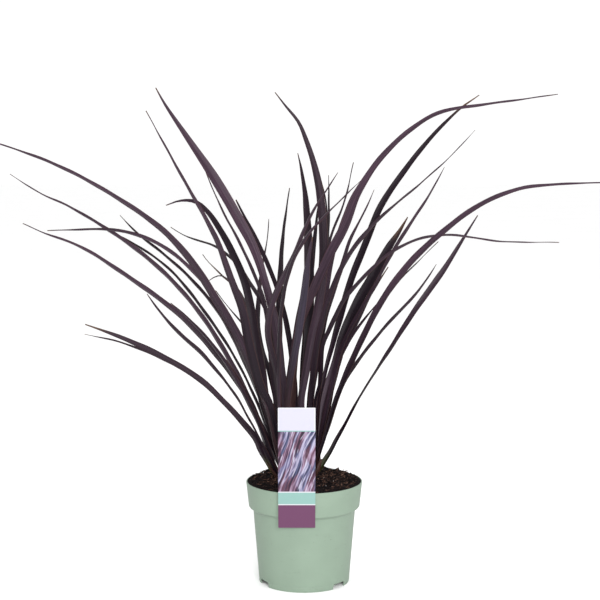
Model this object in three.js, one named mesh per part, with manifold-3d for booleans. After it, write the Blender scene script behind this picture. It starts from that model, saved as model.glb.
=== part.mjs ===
// Young red-black New Zealand flax in a 13 cm nursery pot, with soil and a label over the rim.
// Millimetres, +Z up, origin on the ground at the middle of the pot, viewer at -Y.
import * as THREE from "three";
import { mergeVertices } from "three/addons/utils/BufferGeometryUtils.js";
import Module from "manifold-3d";

const wasm = await Module();
wasm.setup();

const { degToRad, lerp, mapLinear, smoothstep } = THREE.MathUtils;

// Clearance between two pieces that touch, and the fineness of small round corners
const GAP = 0.35;
const CORNER_SEGMENTS = 3;

// Driving dimensions of the pot
const POT_HEIGHT = 114;
const RIM_RADIUS = 65;
const RIM_FOOT_RADIUS = 62.2;
const RIM_DEPTH = 28;
const RIM_EDGE = 0.6;
const SHOULDER_RADIUS = 57;
const SHOULDER_DEPTH = 33;
const FOOT_RADIUS = 50.5;
const FOOT_BEVEL = 0.9;
const WALL = 1.2;
const FLOOR = 1.6;
const POT_SIDES = 40;
const NOTCH_WIDTH = 19;
const NOTCH_HEIGHT = 6;
const NOTCH_DEPTH = 5;
const NOTCH_ANGLES = [-152, -40, 86];
const CHANNEL_RADIUS = 41;
const CHANNEL_HEIGHT = 7;
const DRAIN_WIDTH = 12;
const DRAIN_DEPTH = 4;

// Driving dimensions of the soil. The holes for shoots and label come out above its top.
const SOIL_EDGE_HEIGHT = 113.4;
const SOIL_HEAP_RISE = 3.6;
const SOIL_HEAP_POWER = 16;
const SOIL_LEVEL_EDGE = 0.94;
const SOIL_RINGS = 7;
const SOIL_RING_POWER = 1.5;
const HOLE_TOP = 123;

// Waves of the lumpy soil: height, and turns per millimetre across and back
const SOIL_WAVES = [
  { height: 0.5, across: 0.23, back: 0.39 },
  { height: 0.5, across: 0.39, back: -0.15 },
  { height: 0.3, across: 0.63, back: 0.13 },
  { height: 0.3, across: 0.63, back: -1.01 },
];

// Driving dimensions of the shoots. A sheath is widest from its swell to its bend, where it
// starts to lean, and narrows from its neck to its top.
const SHEATH_BOTTOM = 71;
const SHEATH_SWELL = 99;
const SHEATH_BEND = 113;
const SHEATH_NECK = 125;
const SHEATH_TOP = 135;
const SHEATH_HALF_WIDTH = 5.6;
const SHEATH_HALF_DEPTH = 4.6;
const SHEATH_NARROW_SHARE = 0.75;
const SHEATH_TOP_SHARE = 0.4;
const SHEATH_SIDES = 14;

// Driving dimensions of a leaf. Its fold opens out up to a fraction of its length, and it moves to
// the depth of its tip by a power of the fraction.
const LEAF_ROOT_HEIGHT = 118;
const LEAF_THICKNESS = 0.8;
const LEAF_RIB_THICKNESS = 1.2;
const LEAF_OPEN_AT = 0.4;
const LEAF_DEPTH_POWER = 1.3;
const LEAF_STEPS_PER_POINT = 1.5;
const ROOT_FOLD = 42;
const BLADE_FOLD = 14;

// Driving dimensions of the label. Its panel reaches up and down from the edge of the rim, and
// lies along the taper of the rim.
const LABEL_WIDTH = 40;
const LABEL_RISE = 96;
const LABEL_DROP = 38.5;
const LABEL_OFFSET = -8;
const LABEL_SHEET = 0.7;
const LABEL_CORNER = 0.8;
const TONGUE_WIDTH = 14;
const TONGUE_BACK = 57.6;
const TONGUE_FOOT_HEIGHT = 90;

// The viewer in front of the plant. A leaf's course gives what that viewer sees, as points across
// and up on the plane through the middle of the pot, and each point then moves along its own line
// of sight to the depth that the leaf has there.
const EYE = new THREE.Vector3(0, -1575, 480);

// One entry for each shoot, with its foot in the soil, and one for each leaf. A leaf has its depth
// at the tip, its course from above the sheath to the tip, and at even steps from root to tip how
// far its face turns from the viewer, in degrees, and its width.
const FANS = [
  {
    name: "fan_far_left",
    foot: [-28, 2],
    lean: [-14, -2],
    leaves: [
      { name: "low upper", turn: [15, 25, 25], depth: -60,
        width: [6.5, 9.5, 8, 6.5, 7.5, 7, 7, 4.5, 1.2],
        course: [[-37, 126], [-43, 137], [-49, 148], [-54, 160], [-71, 182], [-88, 201],
          [-116, 228], [-160, 255], [-205, 276], [-243, 290]] },
      { name: "low lower", turn: [50, 60], depth: -40,
        width: [5, 6.5, 7, 7, 6, 5, 4.5, 3.5, 1.2],
        course: [[-45, 143], [-55, 159], [-70, 181], [-116, 227], [-160, 252], [-205, 270],
          [-244, 279]] },
      { name: "left neck", turn: [60, 55, 35], depth: -100,
        width: [8, 5, 4, 4.5, 5, 7, 6, 3.5, 1.2],
        course: [[-46, 152], [-51, 162], [-56, 172], [-64, 187], [-73, 204], [-83, 219],
          [-116, 259], [-138, 279], [-160, 304], [-174, 324]] },
      { name: "left long", turn: [35, 40, 60], depth: -20,
        width: [9.5, 8, 10, 10.5, 8, 7.5, 6.5, 4.5, 1.2],
        course: [[-43, 152], [-52, 180], [-63, 206], [-94, 252], [-138, 300], [-204, 349],
          [-247, 376], [-291, 393], [-310, 402]] },
      { name: "left tucked", turn: [50, 50], depth: -48,
        width: [7, 7.5, 8, 7.5, 6, 4.5, 1.2],
        course: [[-43, 156], [-64, 205], [-96, 259], [-127, 295], [-148, 314]] },
    ],
  },
  {
    name: "fan_left_back",
    foot: [-23, 19],
    lean: [-6, 2],
    leaves: [
      { name: "left kinked", turn: [50, 55, 50], depth: 100,
        width: [7.5, 8.5, 8.5, 8.5, 8, 8.5, 6, 3, 1.2],
        course: [[-38, 153], [-57, 193], [-78, 239], [-111, 295], [-148, 340], [-192, 378],
          [-258, 420], [-290, 435], [-323, 456]] },
      { name: "left black", turn: [60, 60], depth: 125,
        width: [5.5, 6.5, 5, 5.5, 7, 7, 5.5, 5, 1.2],
        course: [[-37, 159], [-54, 204], [-76, 250], [-104, 294], [-148, 350], [-189, 380],
          [-216, 394]] },
      { name: "left grey tip", turn: [50, 50], depth: 150,
        width: [6, 8, 7, 8, 7.5, 6, 5, 4.5, 1.2],
        course: [[-35, 160], [-45, 192], [-58, 227], [-91, 297], [-126, 341], [-159, 371],
          [-183, 390], [-203, 411]] },
      { name: "left level", turn: [50, 50], depth: 70,
        width: [6, 7.5, 7.5, 8, 7.5, 6.5, 6.5, 4, 1.2],
        course: [[-36, 160], [-47, 193], [-56, 225], [-86, 295], [-108, 332], [-148, 371],
          [-181, 388], [-214, 395], [-247, 395], [-283, 394]] },
      { name: "dry curl", turn: [55, 55], depth: 120,
        width: [5, 5.5, 7, 6.5, 6, 5.5, 5, 3, 1.2],
        course: [[-33, 171], [-40, 202], [-43, 232], [-47, 261], [-71, 326], [-91, 345],
          [-106, 360], [-112, 368]] },
      { name: "hooked curl", turn: [45, 60], depth: 92,
        width: [5, 6, 7.5, 7.5, 7, 6.5, 6, 4, 1.2],
        course: [[-35, 171], [-42, 202], [-46, 233], [-51, 261], [-67, 319], [-80, 335],
          [-89, 344], [-97, 344], [-105, 339]] },
      { name: "left sliver", turn: [60, 60], depth: 74,
        width: [5, 5, 5, 6, 5, 3, 1.2],
        course: [[-33, 171], [-40, 205], [-49, 256], [-66, 288], [-82, 307], [-98, 328]] },
      { name: "upright sliver", turn: [30, 40, 55], depth: 150,
        width: [6, 5.5, 5.5, 6, 7.5, 8, 6, 2.5, 1.2],
        course: [[-31, 188], [-32, 205], [-35, 220], [-40, 242], [-46, 261], [-50, 280],
          [-51, 301], [-47, 348], [-40, 389], [-39, 407]] },
    ],
  },
  {
    name: "fan_front",
    foot: [-21, -15],
    lean: [-6, -3],
    leaves: [
      { name: "left arch", turn: [35, 35, 50], depth: -64,
        width: [9, 9, 11, 12, 10, 7.5, 5.5, 4.5, 1.2],
        course: [[-33, 153], [-40, 189], [-49, 216], [-72, 272], [-98, 317], [-126, 361],
          [-158, 396], [-224, 441], [-279, 469], [-348, 494]] },
      { name: "tall thin", turn: [20, 30, 55], depth: -74,
        width: [7.5, 9, 11.5, 11.5, 9.5, 7.5, 5, 3.5, 1.2],
        course: [[-33, 173], [-40, 201], [-49, 219], [-62, 269], [-69, 306], [-83, 345],
          [-97, 384], [-137, 458], [-173, 525]] },
      { name: "tall broad", turn: [20, 15, 0], depth: -48,
        width: [10, 8.5, 11, 10, 8.7, 11.5, 11, 6, 1.2],
        course: [[-23, 205], [-27, 245], [-31, 284], [-41, 328], [-55, 373], [-72, 406],
          [-98, 451], [-130, 499], [-152, 532], [-162, 550]] },
      { name: "cross broad", turn: [35, 35, 55], depth: -150,
        width: [6.5, 6, 6.5, 8.5, 8, 8.5, 6.5, 3.5, 1.2],
        course: [[-28, 196], [-31, 234], [-37, 259], [-41, 280], [-38, 307], [-29, 331],
          [-13, 364], [7, 411], [37, 458]] },
      { name: "cross thin", turn: [50, 60], depth: -175,
        width: [5.5, 5, 7, 6.5, 6.5, 7.5, 6.5, 3, 1.2],
        course: [[-29, 205], [-26, 306], [-15, 356], [4, 390], [37, 425], [62, 449]] },
      { name: "blue sheen", turn: [45, 20], depth: -150,
        width: [7, 6.5, 8.5, 9, 9.5, 8, 1.2],
        course: [[-19, 205], [-14, 240], [-8, 273], [-1, 319], [5, 367], [9, 387]] },
      { name: "right arch", turn: [20, 20, 50], depth: -98,
        width: [8, 10.5, 9, 10.5, 11, 7.5, 5.5, 3.5, 1.2],
        course: [[-13, 205], [-11, 243], [-7, 275], [-3, 294], [9, 325], [28, 367], [45, 399],
          [59, 435], [83, 472], [116, 504], [148, 523], [192, 531], [236, 537], [277, 543]] },
    ],
  },
  {
    name: "fan_left_centre",
    foot: [-8, 4],
    lean: [-5, 0],
    leaves: [
      { name: "top hook", turn: [20, 15, 35], depth: 82,
        width: [9.5, 10, 11, 11.5, 10.5, 9.5, 8.5, 6, 1.2],
        course: [[-40, 192], [-46, 228], [-54, 273], [-59, 308], [-66, 339], [-86, 384],
          [-106, 415], [-119, 426], [-137, 427], [-152, 422]] },
      { name: "behind broad", turn: [35, 45, 50], depth: 46,
        width: [5.5, 5.5, 7.5, 8, 7.5, 5.5, 4.5, 3, 1.2],
        course: [[-31, 205], [-36, 250], [-44, 315], [-67, 373], [-90, 417], [-108, 458]] },
      { name: "dark behind", turn: [25, 25, 40], depth: 60,
        width: [6, 7, 7.5, 7, 6, 6, 2],
        course: [[-10, 216], [-18, 284], [-29, 328], [-47, 373], [-75, 428]] },
      { name: "upright left", turn: [35, 40, 45], depth: 175,
        width: [8.5, 8.5, 11, 11, 10.5, 10, 7, 4, 1.2],
        course: [[-25, 199], [-27, 237], [-27, 306], [-24, 378], [-20, 413], [-16, 441]] },
      { name: "left wisp", turn: [50, 50, 60], depth: 130,
        width: [6, 7, 8.5, 8.5, 7.5, 7.5, 6, 4, 1.2],
        course: [[-26, 205], [-41, 304], [-58, 334], [-75, 359], [-98, 377], [-130, 388],
          [-147, 398]] },
      { name: "centre strip", turn: [25, 30], depth: 34,
        width: [7, 7.5, 7, 7, 5.5, 4, 1.2],
        course: [[-18, 205], [-11, 273], [-4, 317], [0, 339]] },
    ],
  },
  {
    name: "fan_back",
    foot: [0, 27],
    lean: [1, 4],
    leaves: [
      { name: "back tall", turn: [40, 50], depth: 175,
        width: [5.5, 6, 7.5, 7, 5.5, 3.5, 1.2],
        course: [[-1, 205], [2, 241], [10, 275], [15, 317], [28, 382], [45, 428], [54, 469]] },
      { name: "back upright", turn: [40, 50], depth: 200,
        width: [5.5, 6, 8.5, 7.5, 6, 5, 1.2],
        course: [[6, 203], [9, 228], [13, 248], [21, 328], [27, 400], [27, 455]] },
      { name: "back tucked", turn: [30, 35, 40], depth: 150,
        width: [6.5, 7, 8, 8, 8, 7, 2],
        course: [[-2, 222], [8, 345], [13, 397], [16, 424]] },
      { name: "back twin", turn: [20, 30, 45], depth: 80,
        width: [6, 6, 8, 10, 10, 8, 6, 4, 1.2],
        course: [[8, 203], [10, 223], [14, 249], [19, 278], [23, 317], [29, 353], [35, 380],
          [45, 413], [53, 433], [61, 447]] },
      { name: "back cut", turn: [40, 45], depth: 120,
        width: [5, 6, 6.5, 6, 5, 4, 1.2],
        course: [[-1, 214], [4, 249], [11, 285], [17, 317], [25, 417], [19, 449]] },
    ],
  },
  {
    name: "fan_centre",
    foot: [7, -5],
    lean: [2, -1],
    leaves: [
      { name: "centre tall", turn: [15, 20, 25], depth: -38,
        width: [6, 8, 9, 11, 11, 10.5, 9, 5, 1.2],
        course: [[-4, 199], [-1, 223], [3, 245], [9, 278], [15, 306], [21, 367], [18, 426],
          [12, 461], [2, 493], [-6, 512], [-21, 531], [-32, 545]] },
      { name: "centre blunt", turn: [15, 15, 30], depth: 60,
        width: [6, 8, 9.5, 11.5, 12, 8, 1.2],
        course: [[-3, 203], [0, 225], [3, 250], [5, 284], [6, 345], [2, 428], [-3, 461],
          [-7, 479]] },
      { name: "right grey", turn: [30, 40, 50], depth: 50,
        width: [4.5, 5, 5, 6, 7.5, 8, 6.5, 3.5, 1.2],
        course: [[14, 188], [17, 216], [19, 248], [20, 273], [23, 294], [28, 312], [33, 328],
          [41, 351], [51, 384], [67, 416], [77, 439]] },
      { name: "right thin", turn: [30, 65], depth: -60,
        width: [5, 6.5, 9, 9, 7.5, 7.5, 4, 2.5, 1.2],
        course: [[11, 239], [21, 295], [35, 339], [54, 373], [83, 407], [127, 445], [160, 475],
          [187, 504]] },
      { name: "right dip", turn: [40, 60], depth: 30,
        width: [4.5, 4.5, 6, 7.5, 6.5, 5, 4, 3, 1.2],
        course: [[13, 203], [18, 223], [20, 238], [20, 250], [21, 266], [28, 283], [36, 301],
          [45, 318], [62, 338], [95, 369], [128, 385], [161, 389], [216, 382], [281, 381]] },
    ],
  },
  {
    name: "fan_right",
    foot: [9, 13],
    lean: [10.5, 1],
    leaves: [
      { name: "right sweep", turn: [35, 35], depth: -42,
        width: [6, 6, 8.5, 8.5, 9, 7.5, 6, 3.5, 1.2],
        course: [[18, 145], [23, 160], [29, 182], [36, 205], [59, 261], [87, 317], [117, 358],
          [150, 390], [193, 422], [237, 440], [281, 445], [338, 447]] },
      { name: "right tall", turn: [25, 25, 20], depth: 74,
        width: [6, 6, 5.5, 8.5, 9, 8.5, 7, 4.5, 1.2],
        course: [[17, 205], [22, 228], [27, 250], [32, 268], [36, 283], [40, 297], [52, 339],
          [68, 380], [84, 420], [106, 454], [138, 495], [170, 527], [191, 542]] },
      { name: "right blunt", turn: [20, 20, 20], depth: 84,
        width: [8.5, 10.5, 12, 12, 12, 12.5, 12, 9, 1.2],
        course: [[19, 185], [25, 211], [30, 228], [37, 250], [43, 275], [61, 317], [76, 343],
          [92, 373], [106, 395], [114, 409]] },
      { name: "right short", turn: [45, 45], depth: 34,
        width: [7, 7.5, 7.5, 7, 6, 5.5, 1.2],
        course: [[29, 211], [34, 233], [41, 261], [60, 301], [93, 354]] },
      { name: "right tuck", turn: [45, 45], depth: 32,
        width: [6, 6.5, 7, 6.5, 5.5, 4, 1.2],
        course: [[30, 208], [35, 237], [44, 261], [64, 292], [84, 317]] },
    ],
  },
  {
    name: "fan_right_back",
    foot: [16.5, 35],
    lean: [1.5, 2],
    leaves: [
      { name: "right slim", turn: [40, 50], depth: 110,
        width: [4.5, 5.5, 7, 7, 6.5, 6.5, 6, 4, 1.2],
        course: [[16, 143], [20, 160], [25, 182], [30, 208], [35, 230], [41, 254], [48, 269],
          [55, 284], [74, 325], [93, 362], [113, 395], [138, 434], [154, 464]] },
      { name: "right thread", turn: [60, 65], depth: 6,
        width: [3.5, 5.5, 5.5, 5, 4, 3, 1.2],
        course: [[18, 146], [23, 160], [28, 173], [53, 250], [97, 328], [128, 362],
          [148, 382]] },
      { name: "right low", turn: [20, 75, 15, 15], depth: 86,
        width: [9, 6.8, 5.5, 7.5, 7, 7, 7.5, 4.5, 1.2],
        course: [[19, 129], [24, 137], [31, 148], [37, 160], [49, 182], [60, 204], [95, 261],
          [123, 306], [155, 352], [174, 383], [191, 411]] },
      { name: "right bend", turn: [45, 55], depth: 108,
        width: [4, 5.5, 8.5, 8, 6, 5.5, 6, 4.5, 1.2],
        course: [[17, 145], [21, 160], [29, 180], [43, 222], [69, 261], [97, 295], [118, 317],
          [135, 339], [146, 357]] },
    ],
  },
];

const part = new THREE.Group();

const material = (color, roughness) =>
  new THREE.MeshStandardMaterial({ color, roughness, metalness: 0 });

// Sets a finished solid in the part under its name
function addPiece(name, geometry, finish) {
  const mesh = new THREE.Mesh(geometry, finish);
  mesh.name = name;
  part.add(mesh);
}

// Turns a closed geometry into a solid that can be joined and cut
function solidOf(geometry) {
  const bare = geometry.clone();
  bare.deleteAttribute("normal");
  bare.deleteAttribute("uv");
  const merged = mergeVertices(bare, 1e-4);
  return new wasm.Manifold(new wasm.Mesh({
    numProp: 3,
    vertProperties: new Float32Array(merged.attributes.position.array),
    triVerts: new Uint32Array(merged.index.array),
  }));
}

// Turns a solid back into a geometry
function geometryOf(solid) {
  const mesh = solid.getMesh();
  const geometry = new THREE.BufferGeometry();
  geometry.setAttribute("position", new THREE.BufferAttribute(mesh.vertProperties, 3));
  geometry.setIndex(new THREE.BufferAttribute(mesh.triVerts, 1));
  return geometry;
}

// The outer body of a solid, with any hollow that its crossing blades seal filled
function filled(solid) {
  const bodies = solid.decompose();
  return bodies.reduce((whole, body) => (body.volume() > whole.volume() ? body : whole));
}

// Lathe about +Z from points of radius and height that close on the axis
function turned(profile, sides) {
  const points = profile.map(([radius, height]) => new THREE.Vector2(radius, height));
  return new THREE.LatheGeometry(points, sides).rotateX(Math.PI / 2);
}

// Walls between rings of points of one size. Each wall joins two corners of the rings, and a
// crossed wall is split along its other diagonal. The ends stay open.
function loft(rings, walls) {
  const size = rings[0].length;
  const index = [];
  for (let ring = 0; ring + 1 < rings.length; ring += 1) {
    for (const [from, to, crossed] of walls) {
      const [low, high] = [ring * size, (ring + 1) * size];
      if (crossed) index.push(low + from, low + to, high + from, low + to, high + to, high + from);
      else index.push(low + from, low + to, high + to, low + from, high + to, high + from);
    }
  }
  return { index, positions: new Float32Array(rings.flat().flatMap((point) => point.toArray())) };
}

// Sets points and triangles together as one geometry
function geometryFrom({ index, positions }) {
  const geometry = new THREE.BufferGeometry();
  geometry.setAttribute("position", new THREE.BufferAttribute(positions, 3));
  geometry.setIndex(index);
  return geometry;
}

// Pot
const RIM_FOOT_HEIGHT = POT_HEIGHT - RIM_DEPTH;
const SHOULDER_HEIGHT = POT_HEIGHT - SHOULDER_DEPTH;

// Outer wall of the pot as radius and height, moved inward by a distance
const wallAt = (inward) => [
  [FOOT_RADIUS - inward, 0],
  [SHOULDER_RADIUS - inward, SHOULDER_HEIGHT],
  [RIM_FOOT_RADIUS - inward, RIM_FOOT_HEIGHT],
  [RIM_RADIUS - inward, POT_HEIGHT],
];

// The tapering wall under the shoulder at a height, moved inward by a distance
const bodyAt = (height, inward) =>
  [mapLinear(height, 0, SHOULDER_HEIGHT, FOOT_RADIUS, SHOULDER_RADIUS) - inward, height];

// Floor of the pot from the wall to the middle, moved in and up by a distance
const floorAt = (inward) => [
  bodyAt(CHANNEL_HEIGHT + FLOOR + inward, WALL + inward),
  [CHANNEL_RADIUS - WALL - inward, CHANNEL_HEIGHT + FLOOR + inward],
  [CHANNEL_RADIUS - 2 * WALL - inward, FLOOR + inward],
  [0, FLOOR + inward],
];

// Arched cutter for one drainage notch in the foot, with the drain hole above the channel
function notchCutter(degrees) {
  const half = NOTCH_WIDTH / 2;
  const round = NOTCH_HEIGHT / 2;
  const arch = new THREE.Shape();
  arch.moveTo(-half, -NOTCH_HEIGHT);
  arch.lineTo(half, -NOTCH_HEIGHT);
  arch.lineTo(half, NOTCH_HEIGHT - round);
  arch.absarc(half - round, NOTCH_HEIGHT - round, round, 0, Math.PI / 2);
  arch.lineTo(round - half, NOTCH_HEIGHT);
  arch.absarc(round - half, NOTCH_HEIGHT - round, round, Math.PI / 2, Math.PI);
  const sheet = { depth: 2 * NOTCH_DEPTH, bevelEnabled: false, curveSegments: CORNER_SEGMENTS };
  const notch = new THREE.ExtrudeGeometry(arch, sheet)
    .rotateX(Math.PI / 2)
    .translate(0, FOOT_RADIUS + NOTCH_DEPTH, 0);
  const drain = new THREE.BoxGeometry(DRAIN_WIDTH, DRAIN_DEPTH, 3 * FLOOR)
    .translate(0, (CHANNEL_RADIUS + FOOT_RADIUS) / 2, CHANNEL_HEIGHT);
  const turn = degToRad(degrees - 90);
  return solidOf(notch.rotateZ(turn)).add(solidOf(drain.rotateZ(turn)));
}

// Thin wall and floor, turned, with a channel under the edge of the floor
function pot() {
  const [foot, shoulder, rimFoot, rim] = wallAt(0);
  const [innerFoot, innerShoulder, innerRimFoot, innerRim] = wallAt(WALL);
  const profile = [
    [0, 0],
    [CHANNEL_RADIUS - WALL, 0],
    [CHANNEL_RADIUS, CHANNEL_HEIGHT],
    bodyAt(CHANNEL_HEIGHT, WALL),
    innerFoot,
    [foot[0] - FOOT_BEVEL / 2, 0],
    [foot[0], FOOT_BEVEL],
    shoulder,
    [rimFoot[0] - RIM_EDGE, rimFoot[1] - RIM_EDGE],
    [rimFoot[0], rimFoot[1] + RIM_EDGE],
    [rim[0], rim[1] - RIM_EDGE],
    [rim[0] - RIM_EDGE, rim[1]],
    innerRim,
    innerRimFoot,
    innerShoulder,
    ...floorAt(0),
  ];
  let body = solidOf(turned(profile, POT_SIDES));
  for (const degrees of NOTCH_ANGLES) body = body.subtract(notchCutter(degrees));
  return body;
}

addPiece("pot", geometryOf(pot()), material(0xa8bea8, 0.45));

// Shoots

// Share of the way that a sheath has leaned over at a height
const leanAt = (height) => Math.max(0, mapLinear(height, SHEATH_BEND, SHEATH_TOP, 0, 1));

// Flat oval rings of a shoot's sheath at heights and shares of its size, widened by a margin
function sheathRings({ foot, lean }, margin, levels) {
  return levels.map(([height, share]) => Array.from({ length: SHEATH_SIDES }, (_, i) => {
    const angle = (i / SHEATH_SIDES) * Math.PI * 2;
    return new THREE.Vector3(
      foot[0] + lean[0] * leanAt(height) + Math.cos(angle) * (SHEATH_HALF_WIDTH * share + margin),
      foot[1] + lean[1] * leanAt(height) + Math.sin(angle) * (SHEATH_HALF_DEPTH * share + margin),
      height,
    );
  }));
}

// Column through oval rings, closed by a fan of triangles at each end
function ovalColumn(rings) {
  const size = rings[0].length;
  const sides = Array.from({ length: size }, (_, i) => [i, (i + 1) % size]);
  const shell = loft(rings, sides);
  const top = (rings.length - 1) * size;
  for (let i = 1; i + 1 < size; i += 1) {
    shell.index.push(0, i + 1, i);
    shell.index.push(top, top + i, top + i + 1);
  }
  return solidOf(geometryFrom(shell));
}

const sheath = (fan) => ovalColumn(sheathRings(fan, 0, [
  [SHEATH_BOTTOM, SHEATH_NARROW_SHARE],
  [SHEATH_SWELL, 1],
  [SHEATH_BEND, 1],
  [SHEATH_NECK, SHEATH_NARROW_SHARE],
  [SHEATH_TOP, SHEATH_TOP_SHARE],
]));

const sheathHole = (fan) => ovalColumn(sheathRings(fan, GAP, [
  [SHEATH_BOTTOM - GAP, SHEATH_NARROW_SHARE],
  [SHEATH_SWELL, 1],
  [SHEATH_BEND, 1],
  [HOLE_TOP, 1],
]));

// Smooth centre line of a leaf from inside its sheath to its tip
function leafRoute({ foot, lean }, leaf) {
  const root = new THREE.Vector3(
    foot[0] + lean[0] * leanAt(LEAF_ROOT_HEIGHT),
    foot[1] + lean[1] * leanAt(LEAF_ROOT_HEIGHT),
    LEAF_ROOT_HEIGHT,
  );
  const outline = [[root.x, root.z], ...leaf.course];
  const run = [0];
  for (let i = 1; i < outline.length; i += 1) {
    const [dx, dz] = [outline[i][0] - outline[i - 1][0], outline[i][1] - outline[i - 1][1]];
    run.push(run[i - 1] + Math.hypot(dx, dz));
  }
  const points = outline.map(([across, up], i) => {
    const depth = lerp(root.y, leaf.depth, (run[i] / run.at(-1)) ** LEAF_DEPTH_POWER);
    const stretch = (depth - EYE.y) / -EYE.y;
    return new THREE.Vector3(
      EYE.x + (across - EYE.x) * stretch,
      depth,
      EYE.z + (up - EYE.z) * stretch,
    );
  });
  points[0] = root;
  return new THREE.CatmullRomCurve3(points, false, "centripetal");
}

// Value at a fraction of a blade's length, from values at even steps from root to tip
function valueAt(values, along) {
  const place = along * (values.length - 1);
  const before = Math.min(Math.floor(place), values.length - 2);
  return lerp(values[before], values[before + 1], place - before);
}

// Places along a leaf, each with the direction across the blade and the one its face looks in
function leafFrames(fan, leaf) {
  const route = leafRoute(fan, leaf);
  const steps = Math.round(route.points.length * LEAF_STEPS_PER_POINT);
  const reached = route.getLengths(steps);
  const frames = reached.map((length, i) => {
    const along = length / reached[steps];
    const point = route.getPoint(i / steps);
    const tangent = route.getTangent(i / steps);
    const sight = point.clone().sub(EYE);
    const across = tangent.clone().cross(sight).normalize();
    const toward = across.clone().cross(tangent);
    const turn = degToRad(valueAt(leaf.turn, along));
    const side = across.multiplyScalar(Math.cos(turn)).addScaledVector(toward, Math.sin(turn));
    return { along, point, side, face: side.clone().cross(tangent) };
  });
  if (frames[Math.round(steps / 2)].face.z < 0) {
    for (const { side, face } of frames) [side, face].forEach((way) => way.negate());
  }
  return frames;
}

// One strap leaf: a blade folded along its rib, with six corners in each ring
function strapLeaf(fan, leaf) {
  const rings = leafFrames(fan, leaf).map(({ along, point, side, face }) => {
    const half = valueAt(leaf.width, along) / 2;
    const fold = degToRad(lerp(ROOT_FOLD, BLADE_FOLD, smoothstep(along, 0, LEAF_OPEN_AT)));
    const [reach, rise] = [Math.cos(fold) * half, Math.sin(fold) * half];
    const skin = LEAF_THICKNESS / Math.cos(fold) / 2;
    const rib = LEAF_RIB_THICKNESS / Math.cos(fold) / 2;
    const corner = (sideways, upward) => point.clone()
      .addScaledVector(side, sideways)
      .addScaledVector(face, upward);
    return [
      corner(-reach, rise + skin), corner(0, rib), corner(reach, rise + skin),
      corner(reach, rise - skin), corner(0, -rib), corner(-reach, rise - skin),
    ];
  });
  const shell = loft(rings, [[0, 1], [1, 2], [2, 3], [3, 4, true], [4, 5, true], [5, 0]]);
  const tip = (rings.length - 1) * rings[0].length;
  for (const [a, b, c] of [[0, 1, 5], [1, 4, 5], [1, 2, 4], [2, 3, 4]]) {
    shell.index.push(a, c, b);
    shell.index.push(tip + a, tip + b, tip + c);
  }
  return solidOf(geometryFrom(shell));
}

const leafFinish = material(0x4a3d46, 0.5);
for (const fan of FANS) {
  let shoot = sheath(fan);
  for (const leaf of fan.leaves) shoot = shoot.add(strapLeaf(fan, leaf));
  addPiece(fan.name, geometryOf(filled(shoot)), leafFinish);
}

// Label

const LABEL_FRONT = -(RIM_RADIUS + GAP + LABEL_SHEET);
const BRIDGE_HEIGHT = POT_HEIGHT + GAP;

function labelPanel() {
  const [half, corner] = [LABEL_WIDTH / 2, LABEL_CORNER];
  const outline = new THREE.Shape();
  outline.moveTo(-half + corner, -LABEL_DROP);
  outline.lineTo(half - corner, -LABEL_DROP);
  outline.absarc(half - corner, corner - LABEL_DROP, corner, -Math.PI / 2, 0);
  outline.lineTo(half, LABEL_RISE - corner);
  outline.absarc(half - corner, LABEL_RISE - corner, corner, 0, Math.PI / 2);
  outline.lineTo(-half + corner, LABEL_RISE);
  outline.absarc(-half + corner, LABEL_RISE - corner, corner, Math.PI / 2, Math.PI);
  outline.lineTo(-half, corner - LABEL_DROP);
  outline.absarc(-half + corner, corner - LABEL_DROP, corner, Math.PI, Math.PI * 1.5);
  const sheet = { depth: LABEL_SHEET, bevelEnabled: false, curveSegments: CORNER_SEGMENTS };
  return solidOf(new THREE.ExtrudeGeometry(outline, sheet)
    .rotateX(Math.PI / 2 + Math.atan2(RIM_RADIUS - RIM_FOOT_RADIUS, RIM_DEPTH))
    .translate(LABEL_OFFSET, LABEL_FRONT + LABEL_SHEET, BRIDGE_HEIGHT));
}

// Bridge over the rim and tongue in the soil, as one bent strip seen from the side
function labelHook() {
  const strip = new THREE.Shape([
    new THREE.Vector2(LABEL_FRONT + LABEL_SHEET / 2, BRIDGE_HEIGHT),
    new THREE.Vector2(-TONGUE_BACK - LABEL_SHEET, BRIDGE_HEIGHT),
    new THREE.Vector2(-TONGUE_BACK - LABEL_SHEET, TONGUE_FOOT_HEIGHT),
    new THREE.Vector2(-TONGUE_BACK, TONGUE_FOOT_HEIGHT),
    new THREE.Vector2(-TONGUE_BACK, BRIDGE_HEIGHT + LABEL_SHEET),
    new THREE.Vector2(LABEL_FRONT + LABEL_SHEET / 2, BRIDGE_HEIGHT + LABEL_SHEET),
  ]);
  const geometry = new THREE.ExtrudeGeometry(strip, { depth: TONGUE_WIDTH, bevelEnabled: false });
  return solidOf(geometry
    .rotateX(Math.PI / 2)
    .rotateZ(Math.PI / 2)
    .translate(LABEL_OFFSET - TONGUE_WIDTH / 2, 0, 0));
}

addPiece("label", geometryOf(labelPanel().add(labelHook())), material(0xd9d2de, 0.35));

// Soil

const SOIL_WALL = WALL + GAP;

// How far the lumpy top stands above the soil's edge at a place
function soilRise(x, y) {
  const heap = SOIL_HEAP_RISE * (1 - (Math.hypot(x, y) / RIM_RADIUS) ** SOIL_HEAP_POWER);
  return SOIL_WAVES.reduce(
    (rise, { height, across, back }) => rise + height * Math.sin(x * across + y * back),
    heap,
  );
}

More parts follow.
